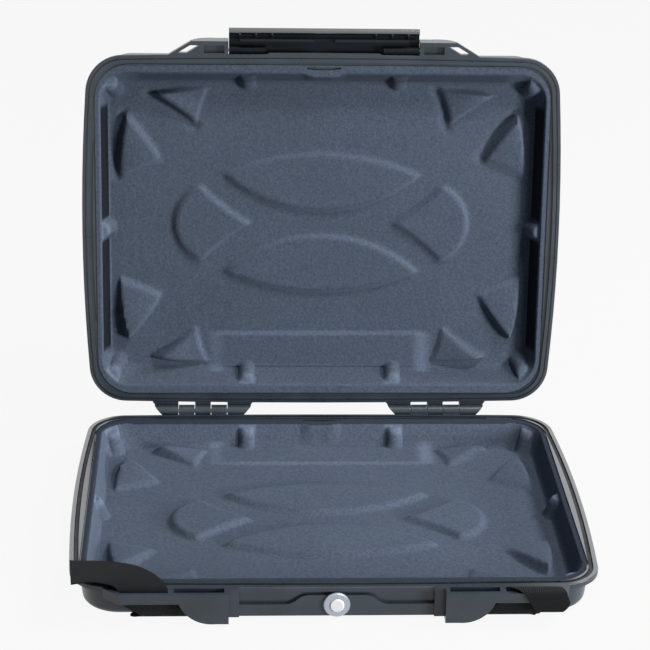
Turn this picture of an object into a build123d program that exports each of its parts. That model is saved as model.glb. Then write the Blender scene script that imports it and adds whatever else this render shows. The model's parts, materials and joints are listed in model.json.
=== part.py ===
from build123d import *
import os
from math import cos, radians, sin

os.makedirs("parts", exist_ok=True)

# Driving sizes in millimetres. +Z is up, +X right and -Y the front, where the latch is. The
# origin is under the middle of the base's rim, on the surface that the feet stand on.

# Plan outline of both rims
case_width = 422.0
case_depth = 316.2
side_bow = 7.0
front_bow = 2.5
corner_radius = 33.0

# Heights, and how far the lid stands open
parting_height = 27.2
lid_height = 30.0
foot_height = 2.6
open_angle = 96.4
closing_gap = 0.1

# Moulded shells
shell_wall = 2.6
shell_floor = 2.2
flange_thickness = 3.7
flange_round = 0.8
body_side_inset = 12.0
body_front_inset = 3.1
body_side_draft = 3.0
body_corner = 30.0
base_bottom_round = 5.0
lid_top_round = 9.0
band_height = 0.8
band_width = 20.0
band_pitch = 44.0
band_count = 5
band_length = 330.0
underside_bands = 3

# Rim: an outer lip, a groove, the sealing ridge or its channel, and a second groove
lip_width = 2.7
rim_groove = 1.1
rim_groove_depth = 1.3
ridge_width = 2.9
ridge_height = 0.9
inner_groove = 2.6
channel_clearance = 0.35
channel_depth = 3.4
seal_thickness = 2.2
seal_clearance = 0.1
seal_round = 0.7

# Moulded inner liners
liner_side_inset = 12.5
liner_front_inset = 9.5
liner_corner = 31.0
liner_gap = 0.3
liner_margin = 1.0
liner_sheet = 1.4
border_drop = 0.6
border_side = 4.0
border_front = 7.3
opening_corner = 24.0
tray_depth = 20.8
tray_side_slope = 7.5
tray_front_slope = 11.0
tray_round = 4.0
relief_height = 3.0
relief_taper = 35.0
relief_tip_round = 3.5
crescent_points = [(58, 0), (84, -16.6), (107, -38), (134, 0), (107, 38), (84, 16.6)]
leaf_points = [(-92, 45), (0, 8), (92, 45), (0, 66)]
front_dart_points = [(98, 127), (106, 108), (110, 88), (131, 106), (156, 121), (128, 126)]
side_dart_points = [(173, 105), (158, 82), (139, 61), (160, 56), (180, 48), (178, 78)]
column_radius = 8.0
column_top_radius = 6.5
column_drop = 4.0
column_x = 66.0
strip_half_width = 100.0
strip_start = 98.0
strip_height = 1.6
scoop_half_width = 19.4
scoop_reach = 3.1
scoop_drop = 6.0
slit_half_width = 14.4
slit_depth = 2.2
slit_inset = 1.8

# Latch guards: a bar stands off each rim at the front, and a cheek plate runs on from it
guard_start = 83.0
guard_stand = 10.9
guard_bite = 2.9
guard_bar_height = 8.2
guard_bar_width = 3.7
slot_stand = 0.5
guard_end_wall = 3.4
guard_corner_round = 1.5
base_bar_end = 166.5
base_guard_end = 179.0
base_guard_inset = 0.1
lid_bar_end = 115.0
lid_guard_end = 134.5
lid_guard_inset = 0.9
lid_slot_width = 8.0
lid_slot_start = 108.0
lid_pocket_end = 104.0
lid_pocket_depth = 6.0
base_cheek_drop = 25.4
lid_cheek_rise = 20.0
cheek_foot = 10.4
cheek_end = 121.0
lid_cheek_end = 114.0
cheek_belly = 4.0
cheek_skin = 2.6
rib_x = 110.0
rib_width = 2.0
rib_top_drop = 10.2
rib_foot_drop = 17.0
cheek_wall_taper = 6.0
pillar_width = 8.0
pillar_stand = 1.9

# Panel in the front of the base, raised round the valve
panel_proud = 3.0
panel_low_drop = 14.7
panel_high_drop = 6.8
panel_high_half = 21.0
panel_low_start = 40.0

# Webbing, and the slots that it passes through
webbing_width = 38.0
webbing_thickness = 1.1
webbing_gap = 0.2
strap_slot_start = 129.3
slot_web = 4.5
lean_start = 128.0
lean_back = 15.9
join_drop = 7.2
run_drop = 8.6

# Edge points of the loose end, counted from the outer end of its slot: out, back and up
tail_outer = [(0, 0, 0.3), (3.5, 1, 3.8), (10.5, 2, 5.3), (18.5, 3.5, 5.8), (26.5, 4.5, 4.8), (35.5, 5.5, 2.8)]
tail_inner = [(-38, 0, 1.3), (-34, 5, 5.8), (-24.5, 16, 7.3), (-11.5, 27.5, 6.8), (8.5, 37, 4.8), (39, 43.5, 2.3)]

# Rows of the webbing below a slot: what is added to its inner and outer x, then back and height
below_rows = [(-8, -6.5, 0.5, 13.0), (-18.5, -14.5, 3.0, 6.5), (-25.5, -16.5, 6.7, 2.0)]

# Rows of the wrap round the right bar: what is added to its inner and outer x, then back and up
wrap_rows = [
    (0.5, 0.3, 0, 0.8),
    (3.0, 3.5, -1.7, 2.2),
    (7.0, 5.5, -4.7, 2.6),
    (11.5, 7.5, -7.5, 1.4),
    (14.0, 8.5, -8.5, -1.7),
    (18.5, 10.5, -8.5, -8.7),
    (23.1, 6.5, -7.1, -15.2),
    (24.0, 3.5, -2.6, -18.2),
]

# Hinges
hinge_offset = 7.4
barrel_radius = 5.5
hinge_pin_radius = 2.0
hinge_pin_half_length = 34.0
running_clearance = 0.05
knuckle_gap = 0.5
knuckle_pitch = 14.6
hinge_middle = 105.2
lug_rim_half_length = 45.2
lug_barrel_half_length = 38.7
lug_depth = 10.5
lug_step = 1.0
lug_shoulder = 4.4
base_lug_drop = 0.3
lid_lug_drop = 2.4

# Latch, drawn as it stands open: its plate runs out from the pivot beyond the lid's rim
latch_length = 165.2
latch_pivot_out = 3.3
latch_pivot_rise = 3.1
latch_barrel_radius = 3.0
latch_barrel_start = 51.0
latch_pin_radius = 1.5
latch_face = 7.8
latch_plate = 2.6
latch_heel = 4.6
latch_heel_lift = 1.2
hook_clearance = 0.3
hook_thickness = 2.2
hook_bite = 1.4
hook_start = 9.0
hook_end = 73.0
grip_rib_height = 4.4
bead_radius = 2.9
bead_drop = 15.4
stiffener_width = 1.2
stiffener_height = 2.6
stiffener_x = (45.0, 59.0, 73.0)
lid_step_half_width = 47.6
lid_step_stand = 1.2
lid_step_slant = 1.9

# Pressure valve in the front wall of the base
valve_margin = 0.2
valve_rim = 2.2
valve_rim_chamfer = 0.9
valve_neck_radius = 6.0
valve_bore_radius = 3.6
valve_hole_clearance = 0.2
valve_neck_length = 10.0
valve_button_radius = 5.7
valve_seat_depth = 1.2
valve_button_height = 2.4
valve_nut_across = 15.6
valve_nut_thickness = 3.0
membrane_thickness = 0.6
gasket_thickness = 0.8
gasket_edge = 0.6

# Rubber feet, set in shallow pockets
foot_width = 15.0
foot_depth = 16.0
foot_x = 75.5
foot_y = 137.0
foot_pocket = 0.6
foot_corner = 3.0
foot_chamfer = 0.5

# Frames of the two halves: x across, y to the back and z upwards when the case is shut
hinge_y = case_depth / 2 + hinge_offset
swing = radians(open_angle)
base_rim = Plane.XY.offset(parting_height)
lid_rim = Plane(
    origin=(0, hinge_y * (1 - cos(swing)), parting_height + hinge_y * sin(swing)),
    x_dir=(1, 0, 0),
    z_dir=(0, sin(swing), cos(swing)),
).offset(closing_gap)

# Places worked out from the sizes above
rim_front = case_depth / 2
guard_reach = rim_front + guard_stand
guard_root = rim_front - guard_bite
guard_slot_back = rim_front + slot_stand
liner_width = case_width - 2 * liner_side_inset
liner_depth = case_depth - 2 * liner_front_inset
ridge_start = lip_width + rim_groove
ridge_end = ridge_start + ridge_width
body_half_width = case_width / 2 - body_side_inset
body_half_depth = case_depth / 2 - body_front_inset
tray_half_width = liner_width / 2 - border_side
tray_half_depth = liner_depth / 2 - border_front
ledge_half_width = tray_half_width + liner_sheet + liner_gap
ledge_half_depth = tray_half_depth + liner_sheet + liner_gap
pocket_depth = border_drop + liner_sheet
base_height = parting_height - foot_height


def side_view(rim):
    """The plane of a half's side profiles: first its y, then its z."""
    return Plane(origin=rim.origin, x_dir=rim.y_dir, z_dir=rim.x_dir)


def front_view(rim, reach):
    """The plane of a half's front profiles, at a reach in front of its middle."""
    return Plane(origin=rim.origin - rim.y_dir * reach, x_dir=rim.x_dir, z_dir=-rim.y_dir)


def rim_outline(plane, inset=0.0):
    """The bowed outline of a rim, drawn in from its edge."""
    half_width = case_width / 2 - inset
    half_depth = case_depth / 2 - inset
    corner_x = half_width - side_bow
    corner_y = half_depth - front_bow
    with BuildSketch(plane) as outline:
        with BuildLine():
            ThreePointArc((-corner_x, -corner_y), (0, -half_depth), (corner_x, -corner_y))
            ThreePointArc((corner_x, -corner_y), (half_width, 0), (corner_x, corner_y))
            ThreePointArc((corner_x, corner_y), (0, half_depth), (-corner_x, corner_y))
            ThreePointArc((-corner_x, corner_y), (-half_width, 0), (-corner_x, -corner_y))
        make_face()
        fillet(outline.vertices(), corner_radius - inset)
    return outline.sketch


def rim_ring(plane, outer, inner):
    """The band between two insets of the rim's outline."""
    with BuildSketch(plane) as ring:
        add(rim_outline(Plane.XY, outer))
        add(rim_outline(Plane.XY, inner), mode=Mode.SUBTRACT)
    return ring.sketch


def rounded(plane, half_width, half_depth, corner):
    """A rounded rectangle centred on a plane."""
    with BuildSketch(plane) as outline:
        RectangleRounded(2 * half_width, 2 * half_depth, corner)
    return outline.sketch


def shell_half(rim, side, height, bottom_round):
    """One moulded half: a drafted tub, a flange round its mouth and a ledge for the liner."""
    floor_half_width = body_half_width - body_side_draft
    inner_corner = body_corner - shell_wall
    away = Axis(rim.origin, rim.z_dir * side)
    with BuildPart() as half:
        loft(
            [
                rounded(rim, body_half_width, body_half_depth, body_corner),
                rounded(rim.offset(side * height), floor_half_width, body_half_depth, body_corner),
            ]
        )
        fillet(half.faces().sort_by(away)[-1].edges(), bottom_round)
        extrude(rim_outline(rim), amount=side * flange_thickness)
        fillet(half.faces().sort_by(away)[0].outer_wire().edges(), flange_round)
        loft(
            [
                rounded(
                    rim.offset(side * flange_thickness),
                    body_half_width - shell_wall,
                    body_half_depth - shell_wall,
                    inner_corner,
                ),
                rounded(
                    rim.offset(side * (height - shell_floor)),
                    floor_half_width - shell_wall,
                    body_half_depth - shell_wall,
                    inner_corner,
                ),
            ],
            mode=Mode.SUBTRACT,
        )
        mouth = rounded(rim, ledge_half_width, ledge_half_depth, opening_corner + liner_sheet)
        extrude(mouth, amount=side * flange_thickness, mode=Mode.SUBTRACT)
        pocket = rounded(
            rim,
            liner_width / 2 + liner_margin,
            liner_depth / 2 + liner_margin,
            liner_corner + liner_margin,
        )
        extrude(pocket, amount=side * pocket_depth, mode=Mode.SUBTRACT)
    return half.part


def guard_plan(plane, bar_end, end, back):
    """A guard seen from above: it stands off the rim and ends in a slant."""
    with BuildSketch(plane) as plan:
        with BuildLine():
            Polyline(
                (guard_start, -guard_root),
                (guard_start, -guard_reach),
                (bar_end, -guard_reach),
                (end, -back),
                (end, -guard_root),
                close=True,
            )
        make_face()
        fillet(plan.vertices().sort_by(Axis.Y)[:2], guard_corner_round)
        mirror(about=Plane.YZ)
    return plan.sketch


def guard_slot(plane, start, front_end, back_end):
    """A slot between a guard's bar and the rim, with a slanting outer end."""
    with BuildSketch(plane) as slot:
        with BuildLine():
            Polyline(
                (start, -guard_slot_back),
                (start, guard_bar_width - guard_reach),
                (front_end, guard_bar_width - guard_reach),
                (back_end, -guard_slot_back),
                close=True,
            )
        make_face()
        mirror(about=Plane.YZ)
    return slot.sketch


def cheeks(rim, side, drop, end):
    """The plates that flank the latch, each with the wall that ties it to the body."""
    skin_plane = front_view(rim, guard_reach - cheek_skin)
    foot_end = guard_start + cheek_foot
    middle_x = (foot_end + end) / 2 + cheek_belly
    middle = (middle_x, side * ((drop + guard_bar_height) / 2 + cheek_belly))
    with BuildPart() as plates:
        with BuildSketch(skin_plane):
            with BuildLine():
                Line((guard_start, 0), (guard_start, side * drop))
                Line((guard_start, side * drop), (foot_end, side * drop))
                ThreePointArc((foot_end, side * drop), middle, (end, side * guard_bar_height))
                Line((end, side * guard_bar_height), (end, 0))
                Line((end, 0), (guard_start, 0))
            make_face()
        extrude(amount=cheek_skin)
        with BuildSketch(side_view(rim).offset(guard_start)):
            with BuildLine():
                Polyline(
                    (-guard_root, 0),
                    (-guard_reach, 0),
                    (-guard_reach, side * drop),
                    (-guard_slot_back, side * drop),
                    (-body_half_depth + shell_wall / 2, side * (drop - cheek_wall_taper)),
                    (-body_half_depth + shell_wall / 2, side * flange_thickness),
                    (-guard_root, side * flange_thickness),
                    close=True,
                )
            make_face()
        extrude(amount=guard_end_wall)
        mirror(about=Plane.YZ)
    return plates.part


def knuckles(rim, side, spans, lug_drop):
    """Hinge barrels with the lugs that carry them, over given stretches of both hinges."""
    wall = body_half_depth - shell_wall / 2
    with BuildPart() as barrels:
        for start, end in spans:
            with BuildSketch(side_view(rim).offset(hinge_middle + start)):
                with Locations((hinge_y, hinge_level(side))):
                    Circle(barrel_radius)
                with BuildLine():
                    Polyline(
                        (guard_root, side * lug_drop),
                        (hinge_y, side * lug_drop),
                        (hinge_y + barrel_radius / 2, side * lug_shoulder),
                        (body_half_depth + lug_step, side * lug_depth),
                        (wall, side * lug_depth),
                        (wall, side * flange_thickness),
                        (guard_root, side * flange_thickness),
                        close=True,
                    )
                make_face()
            extrude(amount=end - start)
        mirror(about=Plane.YZ)
    return barrels.part


def hinge_level(side):
    """The height of the hinge axis in a half's own frame."""
    return -closing_gap if side > 0 else 0.0


def hinge_bores(rim, side):
    """The bores that the hinge pins run through."""
    with BuildPart() as bores:
        with BuildSketch(side_view(rim).offset(hinge_middle - lug_rim_half_length)):
            with Locations((hinge_y, hinge_level(side))):
                Circle(hinge_pin_radius + running_clearance)
        extrude(amount=2 * lug_rim_half_length)
        mirror(about=Plane.YZ)
    return bores.part


def pad_outline(points, x_side, y_side):
    """A pad's outline on one side of the middle, counter-clockwise through corners and arc middles."""
    placed = [(x_side * x, y_side * y) for x, y in points]
    if x_side * y_side < 0:
        placed = placed[:1] + placed[:0:-1]
    with BuildSketch() as outline:
        with BuildLine():
            for place in range(0, len(placed), 2):
                ThreePointArc(placed[place], placed[place + 1], placed[(place + 2) % len(placed)])
        make_face()
        fillet(outline.vertices(), relief_tip_round)
    return outline.sketch


def liner(scoop_side):
    """A moulded tray with a flat border, drawn mouth up with the rim's plane at zero."""
    border = Plane.XY.offset(-border_drop)
    floor = Plane.XY.offset(-tray_depth)
    floor_half_width = tray_half_width - tray_side_slope
    floor_half_depth = tray_half_depth - tray_front_slope
    rise_share = (tray_depth - column_drop) / (tray_depth - border_drop)
    lean_x = tray_side_slope * rise_share
    lean_y = tray_front_slope * rise_share
    corner_inset = opening_corner * (1 - cos(radians(45)))
    corner_x = floor_half_width - corner_inset
    corner_y = floor_half_depth - corner_inset
    columns = [((floor_half_width, 0), (floor_half_width + lean_x, 0))]
    columns += [((-x, y), (-top_x, top_y)) for (x, y), (top_x, top_y) in columns]
    for x_side in (-1, 1):
        for y_side in (-1, 1):
            middle_x = x_side * column_x
            columns += [
                (
                    (middle_x, y_side * floor_half_depth),
                    (middle_x, y_side * (floor_half_depth + lean_y)),
                ),
                (
                    (x_side * corner_x, y_side * corner_y),
                    (x_side * (corner_x + lean_x), y_side * (corner_y + lean_y)),
                ),
            ]
    with BuildPart() as hollow:
        loft(
            [
                rounded(border, tray_half_width, tray_half_depth, opening_corner),
                rounded(floor, floor_half_width, floor_half_depth, opening_corner),
            ]
        )
        fillet(hollow.faces().sort_by(Axis.Z)[0].edges(), tray_round)
        for foot_point, top_point in columns:
            with BuildSketch(floor):
                with Locations(foot_point):
                    Circle(column_radius)
            with BuildSketch(Plane.XY.offset(-column_drop)):
                with Locations(top_point):
                    Circle(column_top_radius)
            loft(mode=Mode.SUBTRACT)
        with BuildSketch(floor):
            for side in (-1, 1):
                add(pad_outline(crescent_points, side, 1))
                add(pad_outline(leaf_points, 1, side))
                for end in (-1, 1):
                    add(pad_outline(front_dart_points, side, end))
                    add(pad_outline(side_dart_points, side, end))
        extrude(amount=relief_height, taper=relief_taper, mode=Mode.SUBTRACT)
        with BuildSketch(floor):
            with Locations((0, (strip_start + floor_half_depth) / 2)):
                Rectangle(2 * strip_half_width, floor_half_depth - strip_start)
        extrude(amount=strip_height, mode=Mode.SUBTRACT)
        with BuildSketch(border):
            with BuildLine():
                scoop_end = (scoop_half_width, scoop_side * tray_half_depth)
                ThreePointArc(
                    (-scoop_end[0], scoop_end[1]),
                    (0, scoop_end[1] - scoop_side * scoop_reach),
                    scoop_end,
                )
                Line(scoop_end, (-scoop_end[0], scoop_end[1]))
            make_face()
        extrude(amount=-scoop_drop, mode=Mode.SUBTRACT)
    with BuildPart() as tray:
        outer_corner = opening_corner + liner_sheet
        loft(
            [
                rounded(
                    border, tray_half_width + liner_sheet, tray_half_depth + liner_sheet, outer_corner
                ),
                rounded(
                    floor.offset(-liner_sheet),
                    floor_half_width + liner_sheet,
                    floor_half_depth + liner_sheet,
                    outer_corner,
                ),
            ]
        )
        fillet(tray.faces().sort_by(Axis.Z)[0].edges(), tray_round)
        extrude(rounded(border, liner_width / 2, liner_depth / 2, liner_corner), amount=-liner_sheet)
        with BuildSketch(border):
            with BuildLine():
                slit_y = scoop_side * (liner_depth / 2 - slit_inset)
                ThreePointArc(
                    (-slit_half_width, slit_y),
                    (0, slit_y - scoop_side * slit_depth),
                    (slit_half_width, slit_y),
                )
                Line((slit_half_width, slit_y), (-slit_half_width, slit_y))
            make_face()
        extrude(amount=-liner_sheet, mode=Mode.SUBTRACT)
        add(hollow.part, mode=Mode.SUBTRACT)
    return tray.part


base_shell_part = shell_half(base_rim, -1, base_height, base_bottom_round)

# Where the knuckles of the two halves meet, counted from a hinge's middle
half_gap = knuckle_gap / 2
inner_joint = knuckle_pitch / 2
outer_joint = knuckle_pitch + inner_joint
base_knuckle_spans = [
    (half_gap - outer_joint, -inner_joint - half_gap),
    (inner_joint + half_gap, outer_joint - half_gap),
]
lid_knuckle_spans = [
    (-lug_rim_half_length, -outer_joint - half_gap),
    (half_gap - inner_joint, inner_joint - half_gap),
    (outer_joint + half_gap, lug_rim_half_length),
]
panel_reach = body_half_depth + panel_proud
valve_radius = (base_height - flange_thickness) / 2 - valve_margin
valve_drop = (base_height + flange_thickness) / 2
pillar_start = guard_start - pillar_width

with BuildPart() as base_shell:
    add(base_shell_part)
    extrude(
        rim_ring(base_rim, ridge_start - channel_clearance, ridge_end + channel_clearance),
        amount=-channel_depth,
        mode=Mode.SUBTRACT,
    )
    base_guard_back = rim_front - base_guard_inset
    base_guard = guard_plan(base_rim, base_bar_end, base_guard_end, base_guard_back)
    extrude(base_guard, amount=-guard_bar_height)
    slant = (base_guard_end - base_bar_end) / (guard_reach - base_guard_back)
    pocket_end = strap_slot_start - slot_web
    slot_front_end = base_bar_end + slant * guard_bar_width - guard_bar_width * (1 + slant**2) ** 0.5
    slot_back_end = slot_front_end + slant * (guard_reach - guard_bar_width - guard_slot_back)
    for slot_sketch in (
        guard_slot(base_rim, guard_start + guard_end_wall, pocket_end, pocket_end),
        guard_slot(base_rim, strap_slot_start, slot_front_end, slot_back_end),
    ):
        extrude(slot_sketch, amount=-guard_bar_height, mode=Mode.SUBTRACT)
    add(cheeks(base_rim, -1, base_cheek_drop, cheek_end))
    for direction in (-1, 1):
        rib_side = side_view(base_rim).offset(direction * rib_x - rib_width / 2)
        with BuildSketch(rib_side):
            with BuildLine():
                Polyline(
                    (cheek_skin / 2 - guard_reach, -rib_top_drop),
                    (cheek_skin / 2 - guard_reach, -rib_foot_drop),
                    (shell_wall / 2 - body_half_depth, -rib_foot_drop),
                    (shell_wall / 2 - body_half_depth, -rib_top_drop),
                    close=True,
                )
            make_face()
        extrude(amount=rib_width)
    with BuildSketch(front_view(base_rim, guard_root)):
        with GridLocations(2 * guard_start - pillar_width, 0, 2, 1):
            with Locations((0, -base_height / 2)):
                Rectangle(pillar_width, base_height)
    extrude(amount=guard_bite + pillar_stand)
    with BuildSketch(front_view(base_rim, body_half_depth - shell_wall / 2)):
        with BuildLine():
            Line((panel_high_half, -panel_high_drop), (-panel_high_half, -panel_high_drop))
            step_level = -(panel_high_drop + panel_low_drop) / 2
            for side in (-1, 1):
                step_middle = (side * (panel_high_half + panel_low_start) / 2, step_level)
                TangentArc((side * panel_high_half, -panel_high_drop), step_middle, tangent=(side, 0))
                TangentArc((side * panel_low_start, -panel_low_drop), step_middle, tangent=(-side, 0))
            Polyline(
                (-panel_low_start, -panel_low_drop),
                (-pillar_start, -panel_low_drop),
                (-pillar_start, -base_height),
                (pillar_start, -base_height),
                (pillar_start, -panel_low_drop),
                (panel_low_start, -panel_low_drop),
            )
        make_face()
    extrude(amount=panel_proud + shell_wall / 2)
    add(knuckles(base_rim, -1, base_knuckle_spans, base_lug_drop))
    add(hinge_bores(base_rim, -1), mode=Mode.SUBTRACT)
    with BuildSketch(front_view(base_rim, panel_reach)):
        with Locations((0, -valve_drop)):
            Circle(valve_neck_radius + valve_hole_clearance)
    extrude(amount=-(panel_proud + 2 * shell_wall), mode=Mode.SUBTRACT)
    with BuildSketch(Plane.XY.offset(foot_height)):
        with GridLocations(2 * foot_x, 2 * foot_y, 2, 2):
            RectangleRounded(foot_width, foot_depth, foot_corner)
    extrude(amount=foot_pocket, mode=Mode.SUBTRACT)
    with BuildSketch(Plane(origin=(0, 0, foot_height), x_dir=(1, 0, 0), z_dir=(0, 0, -1))):
        for place in range(underside_bands):
            with Locations((0, -band_pitch * place)):
                SlotOverall(band_length, band_width)
    extrude(amount=band_height, taper=relief_taper)

base_shell.part.label = "base_shell"
export_step(base_shell.part, "parts/base_shell.step")

with BuildPart() as base_liner:
    add(base_rim.location * liner(1))

base_liner.part.label = "base_liner"
export_step(base_liner.part, "parts/base_liner.step")

lid_shell_part = shell_half(lid_rim, 1, lid_height, lid_top_round)

with BuildPart() as lid_knuckles:
    add(knuckles(lid_rim, 1, lid_knuckle_spans, lid_lug_drop))
    lug_slant = (lug_rim_half_length - lug_barrel_half_length) / hinge_offset
    lug_tip = hinge_y + 2 * barrel_radius
    lug_tip_half_length = lug_barrel_half_length - lug_slant * 2 * barrel_radius
    with BuildSketch(lid_rim.offset(-2 * barrel_radius)):
        with BuildLine():
            Polyline(
                (hinge_middle - lug_rim_half_length, guard_root - shell_wall),
                (hinge_middle + lug_rim_half_length, guard_root - shell_wall),
                (hinge_middle + lug_rim_half_length, case_depth / 2),
                (hinge_middle + lug_tip_half_length, lug_tip),
                (hinge_middle - lug_tip_half_length, lug_tip),
                (hinge_middle - lug_rim_half_length, case_depth / 2),
                close=True,
            )
        make_face()
        mirror(about=Plane.YZ)
    extrude(amount=2 * barrel_radius + 2 * lug_depth, mode=Mode.INTERSECT)

pivot_y = -(rim_front + latch_pivot_out)

with BuildPart() as lid_shell:
    add(lid_shell_part)
    extrude(rim_ring(lid_rim, lip_width, ridge_start), amount=rim_groove_depth, mode=Mode.SUBTRACT)
    inner_ring = rim_ring(lid_rim, ridge_end, ridge_end + inner_groove)
    extrude(inner_ring, amount=rim_groove_depth, mode=Mode.SUBTRACT)
    extrude(rim_ring(lid_rim, ridge_start, ridge_end), amount=-ridge_height)
    with BuildSketch(lid_rim):
        with BuildLine():
            Polyline(
                (-lid_step_half_width - lid_step_slant, -guard_root),
                (-lid_step_half_width - lid_step_slant, -rim_front),
                (-lid_step_half_width, -rim_front - lid_step_stand),
                (lid_step_half_width, -rim_front - lid_step_stand),
                (lid_step_half_width + lid_step_slant, -rim_front),
                (lid_step_half_width + lid_step_slant, -guard_root),
                close=True,
            )
        make_face()
    extrude(amount=flange_thickness)
    lid_guard_back = rim_front - lid_guard_inset
    lid_guard = guard_plan(lid_rim, lid_bar_end, lid_guard_end, lid_guard_back)
    extrude(lid_guard, amount=guard_bar_height)
    lid_slant = (lid_guard_end - lid_bar_end) / (guard_reach - lid_guard_back)
    lid_slot_rise = guard_reach - guard_bar_width - guard_slot_back
    with BuildSketch(lid_rim) as lid_slots:
        with BuildLine():
            Polyline(
                (lid_slot_start + lid_slant * lid_slot_rise, -guard_slot_back),
                (lid_slot_start, guard_bar_width - guard_reach),
                (lid_slot_start + lid_slot_width, guard_bar_width - guard_reach),
                (lid_slot_start + lid_slot_width + lid_slant * lid_slot_rise, -guard_slot_back),
                close=True,
            )
        make_face()
        mirror(about=Plane.YZ)
    extrude(lid_slots.sketch, amount=guard_bar_height, mode=Mode.SUBTRACT)
    extrude(
        guard_slot(lid_rim, guard_start + guard_end_wall, lid_pocket_end, lid_pocket_end),
        amount=lid_pocket_depth,
        mode=Mode.SUBTRACT,
    )
    add(cheeks(lid_rim, 1, lid_cheek_rise, lid_cheek_end))
    add(lid_knuckles.part)
    add(hinge_bores(lid_rim, 1), mode=Mode.SUBTRACT)
    with BuildSketch(side_view(lid_rim).offset(-guard_start - guard_end_wall)):
        with Locations((pivot_y, latch_pivot_rise)):
            Circle(latch_pin_radius + running_clearance)
    extrude(amount=2 * (guard_start + guard_end_wall), mode=Mode.SUBTRACT)
    with BuildSketch(lid_rim.offset(lid_height)):
        with GridLocations(0, band_pitch, 1, band_count):
            SlotOverall(band_length, band_width)
    extrude(amount=band_height, taper=relief_taper)

lid_shell.part.label = "lid_shell"
export_step(lid_shell.part, "parts/lid_shell.step")

with BuildPart() as lid_liner:
    lid_mouth = Plane(origin=lid_rim.origin, x_dir=-lid_rim.x_dir, z_dir=-lid_rim.z_dir)
    add(lid_mouth.location * liner(-1))

lid_liner.part.label = "lid_liner"
export_step(lid_liner.part, "parts/lid_liner.step")

# The sealing ring lies in the base's channel, under the lid's ridge
with BuildPart() as seal_ring:
    seal_plane = base_rim.offset(-channel_depth)
    seal_start = ridge_start - channel_clearance + seal_clearance
    seal_end = ridge_end + channel_clearance - seal_clearance
    extrude(rim_ring(seal_plane, seal_start, seal_end), amount=seal_thickness)
    fillet(seal_ring.faces().sort_by(Axis.Z)[-1].edges(), seal_round)

seal_ring.part.label = "seal_ring"
export_step(seal_ring.part, "parts/seal_ring.step")


def latch_point(out, lift):
    """A point of the latch's side profile, counted from its pivot."""
    return (pivot_y - out, latch_pivot_rise + lift)


hook_drop = latch_pivot_rise + closing_gap + flange_thickness + hook_clearance
hook_tip = latch_pivot_out + hook_bite
plate_inner = latch_face - latch_plate

with BuildPart() as latch:
    with BuildSketch(side_view(lid_rim).offset(-latch_length / 2)):
        with BuildLine():
            Polyline(
                latch_point(-latch_heel, latch_heel_lift),
                latch_point(-latch_heel, latch_face),
                latch_point(bead_drop, latch_face),
                latch_point(bead_drop, plate_inner),
                latch_point(-latch_barrel_radius, plate_inner),
                latch_point(-latch_barrel_radius, latch_heel_lift),
                close=True,
            )
        make_face()
        with Locations(latch_point(bead_drop, latch_face - bead_radius)):
            Circle(bead_radius)
        with BuildLine():
            Polyline(
                latch_point(hook_drop, plate_inner),
                latch_point(hook_drop, plate_inner - grip_rib_height),
                latch_point(hook_drop + hook_thickness, plate_inner - grip_rib_height),
                latch_point(hook_drop + hook_thickness, plate_inner),
                close=True,
            )
        make_face()
    extrude(amount=latch_length)
    for barrel_left in (-latch_length / 2, latch_barrel_start):
        with BuildSketch(side_view(lid_rim).offset(barrel_left)):
            with BuildLine():
                Polyline(
                    latch_point(-latch_barrel_radius, 0),
                    latch_point(-latch_barrel_radius, plate_inner),
                    latch_point(latch_barrel_radius, plate_inner),
                    latch_point(latch_barrel_radius, 0),
                    close=True,
                )
            make_face()
            with Locations(latch_point(0, 0)):
                Circle(latch_barrel_radius)
                Circle(latch_pin_radius + running_clearance, mode=Mode.SUBTRACT)
        extrude(amount=latch_length / 2 - latch_barrel_start)
    for hook_left in (-hook_end, hook_start):
        with BuildSketch(side_view(lid_rim).offset(hook_left)):
            with BuildLine():
                Polyline(
                    latch_point(hook_drop, plate_inner),
                    latch_point(hook_drop, -hook_tip),
                    latch_point(hook_drop + hook_thickness / 2, -hook_tip),
                    latch_point(hook_drop + hook_thickness, -hook_tip + hook_thickness),
                    latch_point(hook_drop + hook_thickness, plate_inner),
                    close=True,
                )
            make_face()
        extrude(amount=hook_end - hook_start)
    for place in stiffener_x:
        for direction in (-1, 1):
            with BuildSketch(side_view(lid_rim).offset(direction * place - stiffener_width / 2)):
                with BuildLine():
                    Polyline(
                        latch_point(hook_drop + hook_thickness, plate_inner),
                        latch_point(hook_drop + hook_thickness, plate_inner - stiffener_height),
                        latch_point(bead_drop, plate_inner - stiffener_height),
                        latch_point(bead_drop, plate_inner),
                        close=True,
                    )
                make_face()
            extrude(amount=stiffener_width)

latch.part.label = "latch"
export_step(latch.part, "parts/latch.step")

with BuildPart() as latch_pin:
    with BuildSketch(side_view(lid_rim).offset(latch_barrel_start)):
        with Locations(latch_point(0, 0)):
            Circle(latch_pin_radius)
    extrude(amount=guard_start + guard_end_wall - latch_barrel_start)
    mirror(about=Plane.YZ)

latch_pin.part.label = "latch_pin"
export_step(latch_pin.part, "parts/latch_pin.step")

for side_name, middle in (("left", -hinge_middle), ("right", hinge_middle)):
    with BuildPart() as hinge_pin:
        with BuildSketch(side_view(base_rim).offset(middle - hinge_pin_half_length)):
            with Locations((hinge_y, 0)):
                Circle(hinge_pin_radius)
        extrude(amount=2 * hinge_pin_half_length)
    hinge_pin.part.label = f"hinge_pin_{side_name}"
    export_step(hinge_pin.part, f"parts/hinge_pin_{side_name}.step")

# The pressure valve: its rim bears on a gasket, and a nut holds its neck from inside
gasket_plane = front_view(base_rim, panel_reach)
rim_plane = gasket_plane.offset(gasket_thickness)
nut_plane = front_view(base_rim, body_half_depth - shell_wall)

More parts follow.
